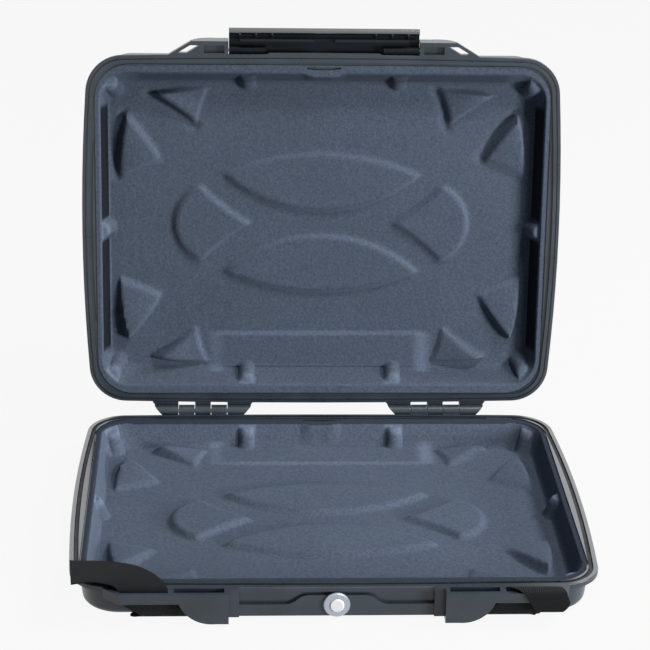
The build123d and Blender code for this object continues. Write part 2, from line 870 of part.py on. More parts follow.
with BuildPart() as valve_gasket:
    with BuildSketch(gasket_plane):
        with Locations((0, -valve_drop)):
            Circle(valve_radius - gasket_edge)
            Circle(valve_neck_radius + valve_hole_clearance, mode=Mode.SUBTRACT)
    extrude(amount=gasket_thickness)

valve_gasket.part.label = "valve_gasket"
export_step(valve_gasket.part, "parts/valve_gasket.step")

with BuildPart() as valve_body:
    with BuildSketch(rim_plane):
        with Locations((0, -valve_drop)):
            Circle(valve_radius)
    extrude(amount=valve_rim)
    chamfer(valve_body.faces().sort_by(Axis.Y)[0].edges(), valve_rim_chamfer)
    with BuildSketch(rim_plane):
        with Locations((0, -valve_drop)):
            Circle(valve_neck_radius)
    extrude(amount=-valve_neck_length)
    with BuildSketch(rim_plane.offset(valve_rim)):
        with Locations((0, -valve_drop)):
            Circle(valve_button_radius + valve_hole_clearance)
    extrude(amount=-valve_seat_depth, mode=Mode.SUBTRACT)
    with BuildSketch(rim_plane.offset(valve_rim)):
        with Locations((0, -valve_drop)):
            Circle(valve_bore_radius)
    extrude(amount=-valve_rim - valve_neck_length, mode=Mode.SUBTRACT)

valve_body.part.label = "valve_body"
export_step(valve_body.part, "parts/valve_body.step")

with BuildPart() as valve_cap:
    with BuildSketch(rim_plane.offset(valve_rim - valve_seat_depth)):
        with Locations((0, -valve_drop)):
            Circle(valve_button_radius)
    extrude(amount=valve_button_height)
    fillet(valve_cap.faces().sort_by(Axis.Y)[0].edges(), valve_button_height / 2)

valve_cap.part.label = "valve_cap"
export_step(valve_cap.part, "parts/valve_cap.step")

with BuildPart() as valve_nut:
    with BuildSketch(nut_plane):
        with Locations((0, -valve_drop)):
            RegularPolygon(valve_nut_across / 2, 6, major_radius=False)
            Circle(valve_neck_radius + running_clearance, mode=Mode.SUBTRACT)
    extrude(amount=-valve_nut_thickness)

valve_nut.part.label = "valve_nut"
export_step(valve_nut.part, "parts/valve_nut.step")

with BuildPart() as valve_membrane:
    with BuildSketch(rim_plane.offset(-valve_neck_length)):
        with Locations((0, -valve_drop)):
            Circle(valve_neck_radius - valve_hole_clearance)
    extrude(amount=-membrane_thickness)

valve_membrane.part.label = "valve_membrane"
export_step(valve_membrane.part, "parts/valve_membrane.step")

with BuildPart() as feet:
    with BuildSketch():
        with GridLocations(2 * foot_x, 2 * foot_y, 2, 2):
            RectangleRounded(foot_width, foot_depth, foot_corner)
    extrude(amount=foot_height + foot_pocket)
    chamfer(feet.edges().group_by(Axis.Z)[0], foot_chamfer)

feet.part.label = "feet"
export_step(feet.part, "parts/feet.step")

# The webbing, in stretches that meet face to face. A station is a left and a right edge point.
half_ply = webbing_thickness / 2
slot_y = -(guard_slot_back + guard_reach - guard_bar_width) / 2
slot_left = strap_slot_start + webbing_gap
slot_right = slot_left + webbing_width
join_level = parting_height - join_drop
run_level = parting_height - run_drop
lower_z = webbing_gap + half_ply
upper_z = foot_height - webbing_gap / 2 - half_ply
lean_y = slot_y + lean_back
lean_half_width = webbing_width / 2**0.5


def webbing(stations):
    """A stretch of webbing lofted through stations, each as wide as its edge points are apart."""
    middles = [(Vector(*left) + Vector(*right)) / 2 for left, right in stations]
    with BuildPart() as ribbon:
        for place, (left, right) in enumerate(stations):
            across = Vector(*right) - Vector(*left)
            along = middles[min(place + 1, len(middles) - 1)] - middles[max(place - 1, 0)]
            across_unit = across.normalized()
            along = along - across_unit * along.dot(across_unit)
            with BuildSketch(Plane(origin=middles[place], x_dir=across, z_dir=along)):
                Rectangle(across.length, webbing_thickness)
        loft(ruled=True)
    return ribbon.part


def level_station(side, inner, outer, y, z):
    """A station whose edges are level, on the left or the right side."""
    near, far = sorted((side * inner, side * outer))
    return (near, y, z), (far, y, z)


def slot_station(side, inner, outer, back, height):
    """A level station counted from the edges and the middle of a strap slot."""
    return level_station(side, slot_left + inner, slot_right + outer, slot_y + back, height)


def run_stations(side, ply_z):
    """The webbing from a slot to the middle of the underside, at one of its two levels there."""
    lean = (lean_start - lean_half_width, lean_start + lean_half_width)
    stations = [slot_station(side, 0, 0, 0, join_level), slot_station(side, 0, 0, 0, run_level)]
    stations += [slot_station(side, *row) for row in below_rows]
    stations.append(level_station(side, *lean, lean_y, ply_z))
    stations.append(level_station(side, -lean_half_width, lean_half_width, lean_y + lean_start, ply_z))
    return stations


tail_stations = [slot_station(-1, 0, 0, 0, join_level)]
for outer_point, inner_point in zip(tail_outer, tail_inner):
    tail_stations.append(
        tuple(
            (-slot_right - out, slot_y + back, parting_height + up)
            for out, back, up in (outer_point, inner_point)
        )
    )

wrap_stations = [slot_station(1, 0, 0, 0, join_level)]
for inner, outer, back, up in wrap_rows:
    wrap_stations.append(slot_station(1, inner, outer, back, parting_height + up))

with BuildPart() as strap_left_tail:
    add(webbing(tail_stations))

strap_left_tail.part.label = "strap_left_tail"
export_step(strap_left_tail.part, "parts/strap_left_tail.step")

with BuildPart() as strap_left_run:
    add(webbing(run_stations(-1, lower_z)))

strap_left_run.part.label = "strap_left_run"
export_step(strap_left_run.part, "parts/strap_left_run.step")

with BuildPart() as strap_right_run:
    add(webbing(run_stations(1, upper_z)))
    with BuildSketch(Plane.XY.offset(lower_z - half_ply)):
        with Locations((0, lean_y + lean_start + half_ply)):
            Rectangle(2 * lean_half_width, webbing_thickness)
    extrude(amount=upper_z - lower_z + webbing_thickness)

strap_right_run.part.label = "strap_right_run"
export_step(strap_right_run.part, "parts/strap_right_run.step")

with BuildPart() as strap_right_wrap:
    add(webbing(wrap_stations))

strap_right_wrap.part.label = "strap_right_wrap"
export_step(strap_right_wrap.part, "parts/strap_right_wrap.step")
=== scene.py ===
"""Dresses the laptop hard case: soft liners, webbing, finishes, lamps and the camera."""

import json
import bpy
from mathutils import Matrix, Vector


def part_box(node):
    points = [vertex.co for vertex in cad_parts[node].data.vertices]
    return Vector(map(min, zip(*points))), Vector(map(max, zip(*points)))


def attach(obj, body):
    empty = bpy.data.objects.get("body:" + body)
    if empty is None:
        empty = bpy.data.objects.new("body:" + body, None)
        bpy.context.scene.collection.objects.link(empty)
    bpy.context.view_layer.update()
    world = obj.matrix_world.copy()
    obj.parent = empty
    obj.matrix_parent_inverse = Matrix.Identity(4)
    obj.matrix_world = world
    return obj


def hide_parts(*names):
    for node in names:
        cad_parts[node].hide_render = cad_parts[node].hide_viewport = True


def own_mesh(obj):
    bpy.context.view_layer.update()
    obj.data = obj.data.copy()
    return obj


bl_info = {
    "name": "Laptop Hard Case",
    "version": (1, 0, 0),
    "blender": (4, 5, 0),
    "location": "3D View > Sidebar > Hard Case",
    "description": "Soft liners, webbing, finishes and a stage around the packed hard case",
    "category": "Object",
}

from math import pi, radians

import bpy
import numpy as np
from mathutils import Matrix, Vector

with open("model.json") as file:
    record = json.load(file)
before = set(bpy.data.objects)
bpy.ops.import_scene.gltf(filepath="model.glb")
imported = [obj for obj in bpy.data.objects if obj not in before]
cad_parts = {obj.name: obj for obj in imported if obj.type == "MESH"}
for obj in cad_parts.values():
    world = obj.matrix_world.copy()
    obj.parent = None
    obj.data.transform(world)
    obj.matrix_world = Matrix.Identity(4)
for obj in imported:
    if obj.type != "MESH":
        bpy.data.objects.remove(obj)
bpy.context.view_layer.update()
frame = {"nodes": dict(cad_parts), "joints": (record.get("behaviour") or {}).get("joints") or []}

MM = 0.001

# Places of the two halves, from the lid's hinge
lid_hinge = next(joint for joint in frame["joints"] if joint["name"] == "lid_hinge")
hinge_point = Vector(lid_hinge["pos_m"])
open_angle = radians(lid_hinge["range_deg"][1])
rim_height = hinge_point.z
CLOSING_GAP = 0.0001
base_place = Matrix.Translation((0, 0, rim_height))
lid_place = (
    Matrix.Translation(hinge_point)
    @ Matrix.Rotation(-open_angle, 4, "X")
    @ Matrix.Translation((0, -hinge_point.y, CLOSING_GAP))
    @ Matrix.Rotation(pi, 4, "Y")
)

BEAD_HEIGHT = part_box("latch")[1][2] - 0.0045

# The rims' bowed outline in millimetres, as half sizes, bows and corner radius
RIM_HALF = (211.0, 158.1)
RIM_BOW = (7.0, 2.5)
RIM_CORNER = 33.0

# Plan of a liner in millimetres, drawn mouth up with the rim's plane at zero
LINER_HALF = (198.5, 148.6)
LINER_CORNER = 31.0
MOUTH_HALF = (194.5, 141.3)
FLOOR_HALF = (188.6, 130.3)
TRAY_CORNER = 24.0
BULGE_HALF = 19.4
BULGE_REACH = 3.1
SLIT_EDGE = 146.8
SLIT_HALF = 14.4
SLIT_DEPTH = 2.2
CRESCENT = ((58, 0), (84, -16.6), (107, -38), (134, 0), (107, 38), (84, 16.6))
LEAF = ((-92, 45), (0, 8), (92, 45), (0, 66))
MIDDLE_SHIFT = {1: 9.0, -1: 4.0}
FRONT_DART = ((98, 127), (106, 108), (110, 88), (131, 106), (156, 121), (128, 126))
SIDE_DART = ((173, 107), (154, 84), (138.5, 59), (160, 50), (181, 42), (180, 78))

# Edge points of the webbing in millimetres: left, then right, along each stretch
LEFT_TAIL = (
    ((-167.5, -161.95, 20.0), (-129.5, -161.95, 20.0)),
    ((-167.5, -161.95, 27.5), (-129.5, -161.95, 28.5)),
    ((-171.0, -160.95, 31.0), (-133.5, -156.95, 33.0)),
    ((-178.0, -159.95, 32.5), (-143.0, -145.95, 34.5)),
    ((-186.0, -158.45, 33.0), (-156.0, -134.45, 34.0)),
    ((-194.0, -157.45, 32.0), (-176.0, -124.95, 32.0)),
    ((-203.0, -156.45, 30.0), (-206.5, -118.45, 29.5)),
)
LEFT_RUN = (
    ((-167.5, -161.95, 20.0), (-129.5, -161.95, 20.0)),
    ((-167.5, -161.95, 18.6), (-129.5, -161.95, 18.6)),
    ((-161.0, -161.45, 13.0), (-121.5, -161.45, 13.0)),
    ((-153.0, -158.95, 6.5), (-111.0, -158.95, 6.5)),
    ((-151.0, -155.25, 2.0), (-104.0, -155.25, 2.0)),
    ((-154.9, -146.05, 0.75), (-101.1, -146.05, 0.75)),
    ((-90.9, -82.0, 0.75), (-37.1, -82.0, 0.75)),
    ((-26.9, -18.05, 0.75), (26.9, -18.05, 0.75)),
)
RIGHT_RUN = (
    ((129.5, -161.95, 20.0), (167.5, -161.95, 20.0)),
    ((129.5, -161.95, 18.6), (167.5, -161.95, 18.6)),
    ((121.5, -161.45, 13.0), (161.0, -161.45, 13.0)),
    ((111.0, -158.95, 6.5), (153.0, -158.95, 6.5)),
    ((104.0, -155.25, 2.0), (151.0, -155.25, 2.0)),
    ((101.1, -146.05, 1.95), (154.9, -146.05, 1.95)),
    ((37.1, -82.0, 1.95), (90.9, -82.0, 1.95)),
    ((-26.9, -18.05, 1.95), (26.9, -18.05, 1.95)),
)
RIGHT_WRAP = (
    ((129.5, -161.95, 20.0), (167.5, -161.95, 20.0)),
    ((130.0, -161.95, 28.0), (167.8, -161.95, 28.0)),
    ((132.5, -163.65, 29.4), (171.0, -163.65, 29.4)),
    ((136.5, -166.65, 29.8), (173.0, -166.65, 29.8)),
    ((141.0, -169.45, 28.6), (175.0, -169.45, 28.6)),
    ((143.5, -170.4, 25.5), (176.0, -170.4, 25.5)),
    ((148.0, -170.4, 18.5), (178.0, -170.4, 18.5)),
    ((152.6, -169.05, 12.0), (174.0, -169.05, 12.0)),
    ((153.5, -164.55, 9.0), (171.0, -164.55, 9.0)),
)


class CaseSizes(bpy.types.PropertyGroup):
    """Sizes that a user would change."""

    liner_depth: bpy.props.FloatProperty(
        name="Liner depth",
        description="Depth of a liner's floor below the rim",
        default=0.0208,
        unit="LENGTH",
    )
    pad_height: bpy.props.FloatProperty(
        name="Pad height",
        description="How far the raised pads stand above a liner's floor",
        default=0.0044,
        unit="LENGTH",
    )
    liner_sheet: bpy.props.FloatProperty(
        name="Liner sheet",
        description="Thickness of the flocked sheet that a liner is moulded from",
        default=0.0014,
        unit="LENGTH",
    )
    webbing_thickness: bpy.props.FloatProperty(
        name="Webbing thickness",
        description="Thickness of the strap's webbing",
        default=0.0011,
        unit="LENGTH",
    )


class CaseColours(bpy.types.PropertyGroup):
    """Colours that a user would change."""

    shell: bpy.props.FloatVectorProperty(
        name="Shell",
        description="Colour of the moulded shells",
        subtype="COLOR",
        size=3,
        default=(0.029, 0.04, 0.052),
    )
    flock: bpy.props.FloatVectorProperty(
        name="Flock",
        description="Colour of the flocked liners",
        subtype="COLOR",
        size=3,
        default=(0.08, 0.1, 0.139),
    )
    webbing: bpy.props.FloatVectorProperty(
        name="Webbing",
        description="Colour of the strap",
        subtype="COLOR",
        size=3,
        default=(0.0105, 0.011, 0.012),
    )


class Wire:
    """A shader socket that takes part in plain arithmetic."""

    def __init__(self, finish, socket):
        self.finish = finish
        self.socket = socket

    def maths(self, operation, first, second=0.0):
        node = self.finish.node(
            "ShaderNodeMath", {"operation": operation}, {0: first, 1: second}
        )
        return Wire(self.finish, node.outputs[0])

    def __add__(self, other):
        return self.maths("ADD", self, other)

    def __radd__(self, other):
        return self.maths("ADD", other, self)

    def __sub__(self, other):
        return self.maths("SUBTRACT", self, other)

    def __rsub__(self, other):
        return self.maths("SUBTRACT", other, self)

    def __mul__(self, other):
        return self.maths("MULTIPLY", self, other)

    def __rmul__(self, other):
        return self.maths("MULTIPLY", other, self)

    def __truediv__(self, other):
        return self.maths("DIVIDE", self, other)

    def __pow__(self, other):
        return self.maths("POWER", self, other)

    def sine(self):
        return self.maths("SINE", self)

    def size(self):
        return self.maths("ABSOLUTE", self)

    def between(self, low, high):
        """0 at low and 1 at high, smoothly."""
        node = self.finish.node(
            "ShaderNodeMapRange",
            {"interpolation_type": "SMOOTHSTEP"},
            {"Value": self, "From Min": low, "From Max": high},
        )
        return Wire(self.finish, node.outputs[0])


class Finish:
    """A material under construction, with its nodes and its main shader."""

    def __init__(self, name, roughness, metallic=0.0):
        self.material = bpy.data.materials.new(name)
        self.material.use_nodes = True
        self.tree = self.material.node_tree
        self.shader = self.tree.nodes["Principled BSDF"]
        self.shader.inputs["Roughness"].default_value = roughness
        self.shader.inputs["Metallic"].default_value = metallic

    def node(self, kind, settings=None, sockets=None):
        """Adds a node: its settings are set first, then the values or links of its sockets."""
        made = self.tree.nodes.new(kind)
        for key, value in (settings or {}).items():
            setattr(made, key, value)
        for key, value in (sockets or {}).items():
            if isinstance(value, Wire):
                self.tree.links.new(value.socket, made.inputs[key])
            else:
                made.inputs[key].default_value = value
        return made

    def wire(self, node, output=0):
        return Wire(self, node.outputs[output])

    def place(self):
        """Object coordinates."""
        return self.wire(self.node("ShaderNodeTexCoord"), "Object")

    def noise(self, scale, detail=2.0, roughness=0.5, stretch=None):
        """Noise over Object coordinates, with scale in features to the metre."""
        where = self.place()
        if stretch:
            mapping = self.node("ShaderNodeMapping", None, {"Vector": where, "Scale": stretch})
            where = self.wire(mapping)
        sockets = {"Vector": where, "Scale": scale, "Detail": detail, "Roughness": roughness}
        return self.wire(self.node("ShaderNodeTexNoise", None, sockets))

    def cells(self, scale):
        """Distance to the nearest cell's middle, with scale in cells to the metre."""
        sockets = {"Vector": self.place(), "Scale": scale}
        return self.wire(self.node("ShaderNodeTexVoronoi", None, sockets))

    def mix(self, share, first, second):
        """A colour between two, by a share from 0 to 1."""
        node = self.node("ShaderNodeMix", {"data_type": "RGBA"}, {0: share})
        for key, value in ((6, first), (7, second)):
            if isinstance(value, Wire):
                self.tree.links.new(value.socket, node.inputs[key])
            else:
                node.inputs[key].default_value = (*value, 1.0)
        return Wire(self, node.outputs[2])

    def feed(self, name, wire):
        self.tree.links.new(wire.socket, self.shader.inputs[name])

    def relief(self, height, depth):
        """Feeds the shader's normal from a height that is depth metres at 1."""
        bump = self.node(
            "ShaderNodeBump", None, {"Height": height, "Distance": depth, "Strength": 1.0}
        )
        self.feed("Normal", self.wire(bump))


def shade(colour, factor):
    """A colour made darker or lighter."""
    return tuple(channel * factor for channel in colour)


def moulded_plastic(name, colour, gloss):
    """Black moulded plastic with a fine eroded grain and faint handling marks."""
    finish = Finish(name, 0.36)
    finish.shader.inputs["Specular IOR Level"].default_value = gloss
    grain = finish.cells(1500.0)
    cloud = finish.noise(26.0, 4.0)
    scuff = finish.noise(240.0, 5.0, 0.7, (1.0, 0.22, 1.0)).between(0.56, 0.72)
    tone = finish.mix(cloud.between(0.3, 0.7), shade(colour, 0.85), shade(colour, 1.18))
    finish.feed("Base Color", finish.mix(scuff * 0.16, tone, shade(colour, 2.2)))
    finish.feed("Roughness", 0.24 + cloud * 0.08 + scuff * 0.12)
    finish.relief(grain + finish.noise(900.0, 3.0) * 0.8, 0.00004)
    return finish


def rim_inset(finish, place):
    """How far inside the rim's outline a point of a shell lies, in millimetres."""
    spot = finish.node("ShaderNodeSeparateXYZ", None, {0: finish.place()})
    row = place.inverted()[1]
    x = finish.wire(spot, 0).size() * 1000
    y = (finish.wire(spot, 1) * row[1] + finish.wire(spot, 2) * row[2] + row[3]).size() * 1000
    past_side = x + y * y * (RIM_BOW[0] / RIM_HALF[1] ** 2) - (RIM_HALF[0] - RIM_CORNER)
    past_front = y + x * x * (RIM_BOW[1] / RIM_HALF[0] ** 2) - (RIM_HALF[1] - RIM_CORNER)
    past_side = past_side.maths("MAXIMUM", past_side, 0.0)
    past_front = past_front.maths("MAXIMUM", past_front, 0.0)
    return RIM_CORNER - (past_side**2 + past_front**2) ** 0.5


def polish_rim(finish, place, polish):
    """Polishes a rim along both sides of the case, where it is handled most."""
    inset = rim_inset(finish, place)
    spot = finish.node("ShaderNodeSeparateXYZ", None, {0: finish.place()})
    sides = finish.wire(spot, 0).size().between(0.178, 0.19)
    sides = sides * finish.wire(spot, 2).between(rim_height - 0.005, rim_height - 0.004)
    finish.feed("Coat Weight", inset.between(13.0, 12.4) * inset.between(-0.6, 0.0) * sides * polish)
    finish.shader.inputs["Coat Roughness"].default_value = 0.14
    finish.shader.inputs["Coat IOR"].default_value = 2.3
    return finish


def flocked_foam(colour):
    """Soft flocked sheet: short fibres that catch the light as fine speckle. A point attribute paints
    highlight on pad slopes and column tips, and shade on walls, grooves and the slit's lips.
    """
    finish = Finish("flocked_foam", 0.96)
    fibre = finish.noise(1500.0, 4.0, 0.75)
    tuft = finish.noise(420.0, 3.0, 0.6)
    cloud = finish.noise(14.0, 3.0)
    speck = (fibre * 0.65 + tuft * 0.35).between(0.36, 0.64)
    tone = finish.mix(speck, shade(colour, 0.72), shade(colour, 1.3))
    # Painted highlight: lighter flock on pad slopes, the strip and the column tips; the cloud noise also
    # lightens it a little at random.
    highlight_and_cloud_tone = finish.mix(speck, shade(colour, 1.4), shade(colour, 2.4))
    painted_light_and_tone = finish.wire(finish.node("ShaderNodeAttribute", {"attribute_name": "painted_light_and_tone"}), "Fac")
    tone = finish.mix((painted_light_and_tone + cloud * 0.4 - 0.15) * 0.6, tone, highlight_and_cloud_tone)
    # Painted shade: near-black flock on the lid's walls, in its grooves and on the slit's lips; the base's
    # border takes part of it as a darker tone.
    shade_and_border_tone = finish.mix(fibre, (0.003, 0.004, 0.005), (0.012, 0.014, 0.016))
    finish.feed("Base Color", finish.mix(painted_light_and_tone.between(-0.2, -1.9), tone, shade_and_border_tone))
    finish.shader.inputs["Sheen Weight"].default_value = 0.06
    finish.shader.inputs["Sheen Roughness"].default_value = 0.6
    finish.shader.inputs["Sheen Tint"].default_value = (0.6, 0.75, 1.0, 1.0)
    finish.shader.inputs["Specular IOR Level"].default_value = 0.03
    finish.relief(fibre + tuft * 1.5, 0.00025)
    return finish.material


def twill_webbing(colour):
    """Twill webbing: slanting ribs over coarse yarn."""
    finish = Finish("twill_webbing", 0.8)
    coords = finish.node("ShaderNodeSeparateXYZ")
    uv = finish.node("ShaderNodeTexCoord")
    finish.tree.links.new(uv.outputs["UV"], coords.inputs[0])
    across = finish.wire(coords, 0)
    along = finish.wire(coords, 1)
    rib = ((across + along) * (2 * pi / 0.0016)).sine() * 0.5 + 0.5
    yarn = ((along - across * 0.35) * (2 * pi / 0.0009)).sine() * 0.5 + 0.5
    fuzz = finish.noise(1100.0, 4.0, 0.7)
    weave = rib * 0.65 + yarn * 0.2 + fuzz * 0.35
    finish.feed("Base Color", finish.mix(weave.between(0.25, 0.95), shade(colour, 0.45), shade(colour, 2.1)))
    finish.shader.inputs["Specular IOR Level"].default_value = 0.15
    finish.relief(weave, 0.0004)
    return finish.material


def soft_rubber():
    """Matt black rubber with a faint bloom."""
    finish = Finish("soft_rubber", 0.7)
    bloom = finish.noise(90.0, 4.0).between(0.35, 0.75)
    finish.feed("Base Color", finish.mix(bloom, (0.018, 0.018, 0.02), (0.04, 0.041, 0.044)))
    finish.relief(finish.noise(1400.0, 2.0), 0.00004)
    return finish.material


def ground_steel():
    """Ground steel pins, with fine lines round them."""
    finish = Finish("ground_steel", 0.3, 1.0)
    lines = finish.noise(300.0, 3.0, 0.6, (8.0, 1.0, 1.0))
    finish.feed("Base Color", finish.mix(lines, (0.36, 0.36, 0.37), (0.62, 0.62, 0.63)))
    finish.feed("Roughness", 0.22 + lines * 0.2)
    return finish.material


def satin_metal():
    """Satin aluminium of the valve's body."""
    finish = Finish("satin_metal", 0.35, 0.85)
    blast = finish.noise(1300.0, 3.0)
    cloud = finish.noise(160.0, 3.0)
    finish.feed("Base Color", finish.mix(cloud, (0.36, 0.41, 0.47), (0.52, 0.57, 0.64)))
    finish.feed("Roughness", 0.3 + cloud * 0.2)
    finish.relief(blast, 0.00005)
    return finish.material


def white_cap():
    """Glossy white moulded cap."""
    finish = Finish("white_cap", 0.3)
    cloud = finish.noise(200.0, 3.0)
    finish.feed("Base Color", finish.mix(cloud, (0.84, 0.85, 0.87), (0.93, 0.93, 0.94)))
    finish.relief(finish.noise(1500.0, 2.0), 0.00002)
    return finish.material


def vent_film():
    """White porous film."""
    finish = Finish("vent_film", 0.9)
    pores = finish.cells(2500.0)
    finish.feed("Base Color", finish.mix(pores, (0.6, 0.6, 0.6), (0.82, 0.82, 0.8)))
    return finish.material


def cover(material, *nodes):
    """Gives CAD nodes a finish."""
    for name in nodes:
        for place in frame["nodes"][name].material_slots:
            place.material = material


def keep_only(piece):
    """Leaves one object selected and active."""
    bpy.ops.object.select_all(action="DESELECT")
    piece.select_set(True)
    bpy.context.view_layer.objects.active = piece


def new_grid(name, columns, rows):
    """A flat grid of faces between columns and rows of points."""
    bpy.ops.object.select_all(action="DESELECT")
    bpy.ops.mesh.primitive_grid_add(
        x_subdivisions=columns - 1, y_subdivisions=rows - 1, size=2.0, calc_uvs=True
    )
    piece = bpy.context.active_object
    piece.name = name
    piece.data.name = name
    return piece


def grid_indices(piece, columns, rows):
    """The column and row of each point of a new grid."""
    points = np.zeros(len(piece.data.vertices) * 3)
    piece.data.vertices.foreach_get("co", points)
    points = points.reshape(-1, 3)
    column = np.rint((points[:, 0] + 1) / 2 * (columns - 1)).astype(int)
    row = np.rint((points[:, 1] + 1) / 2 * (rows - 1)).astype(int)
    return column, row


def step(value):
    """0 up to 0, 1 from 1, and smooth between."""
    share = np.clip(value, 0, 1)
    return share * share * (3 - 2 * share)


def soft_low(first, second, reach):
    """The lower of two values, rounded where they meet."""
    overlap = np.maximum(reach - np.abs(first - second), 0) / reach
    return np.minimum(first, second) - overlap * overlap * reach / 4


def soft_high(first, second, reach):
    """The higher of two values, rounded where they meet."""
    return -soft_low(-first, -second, reach)


def rounded_distance(x, y, half, corner):
    """Distance to a rounded rectangle, negative inside."""
    past_x = np.abs(x) - half[0] + corner
    past_y = np.abs(y) - half[1] + corner
    outside = np.hypot(np.maximum(past_x, 0), np.maximum(past_y, 0))
    return outside + np.minimum(np.maximum(past_x, past_y), 0) - corner


def arc(start, middle, end, count=14):
    """Points along the arc through three points."""
    (ax, ay), (bx, by), (cx, cy) = start, middle, end
    turn = 2 * (ax * (by - cy) + bx * (cy - ay) + cx * (ay - by))
    a2, b2, c2 = ax * ax + ay * ay, bx * bx + by * by, cx * cx + cy * cy
    centre_x = (a2 * (by - cy) + b2 * (cy - ay) + c2 * (ay - by)) / turn
    centre_y = (a2 * (cx - bx) + b2 * (ax - cx) + c2 * (bx - ax)) / turn
    angles = np.unwrap(
        [np.arctan2(py - centre_y, px - centre_x) for px, py in (start, middle, end)]
    )
    sweep = np.linspace(angles[0], angles[2], count)
    radius = np.hypot(ax - centre_x, ay - centre_y)
    return np.stack((centre_x + radius * np.cos(sweep), centre_y + radius * np.sin(sweep)), 1)


def chain_distance(x, y, chain):
    """Distance to a chain of points."""
    nearest = np.full(x.shape, np.inf)
    for (ax, ay), (bx, by) in zip(chain[:-1], chain[1:]):
        run_x, run_y = bx - ax, by - ay
        share = ((x - ax) * run_x + (y - ay) * run_y) / (run_x**2 + run_y**2)
        share = np.clip(share, 0, 1)
        nearest = np.minimum(nearest, np.hypot(x - ax - share * run_x, y - ay - share * run_y))
    return nearest


def inside(x, y, chain):
    """Whether points lie inside a closed chain."""
    crossed = np.zeros(x.shape, bool)
    for (ax, ay), (bx, by) in zip(chain, np.roll(chain, -1, 0)):
        if ay == by:
            continue
        spans = (ay > y) != (by > y)
        crossed ^= spans & (x < ax + (y - ay) * (bx - ax) / (by - ay))
    return crossed


def pad(x, y, corners, slopes):
    """A pad's rise from 0 to 1: each side slopes up over its own distance."""
    sides = [
        arc(corners[place], corners[place + 1], corners[(place + 2) % len(corners)])
        for place in range(0, len(corners), 2)
    ]
    rise = inside(x, y, np.concatenate(sides)).astype(float)
    for side, slope in zip(sides, slopes):
        rise = rise * step(chain_distance(x, y, side) / slope)
    return rise


def column_rise(x, y, foot, lean):
    """A column's height share over the plan: it leans out with the wall that carries it."""
    length = np.hypot(*lean)
    out_x, out_y = lean[0] / length, lean[1] / length
    outward = (x - foot[0]) * out_x + (y - foot[1]) * out_y
    lateral = (x - foot[0]) * out_y - (y - foot[1]) * out_x
    radius = 7.4
    front = np.sqrt(np.maximum(radius**2 - lateral**2, 0))
    share = (outward + front) / (length + 1.5)
    share = np.where(np.abs(lateral) < radius, share, -1.0)
    return soft_low(share, np.ones_like(share), 0.35)


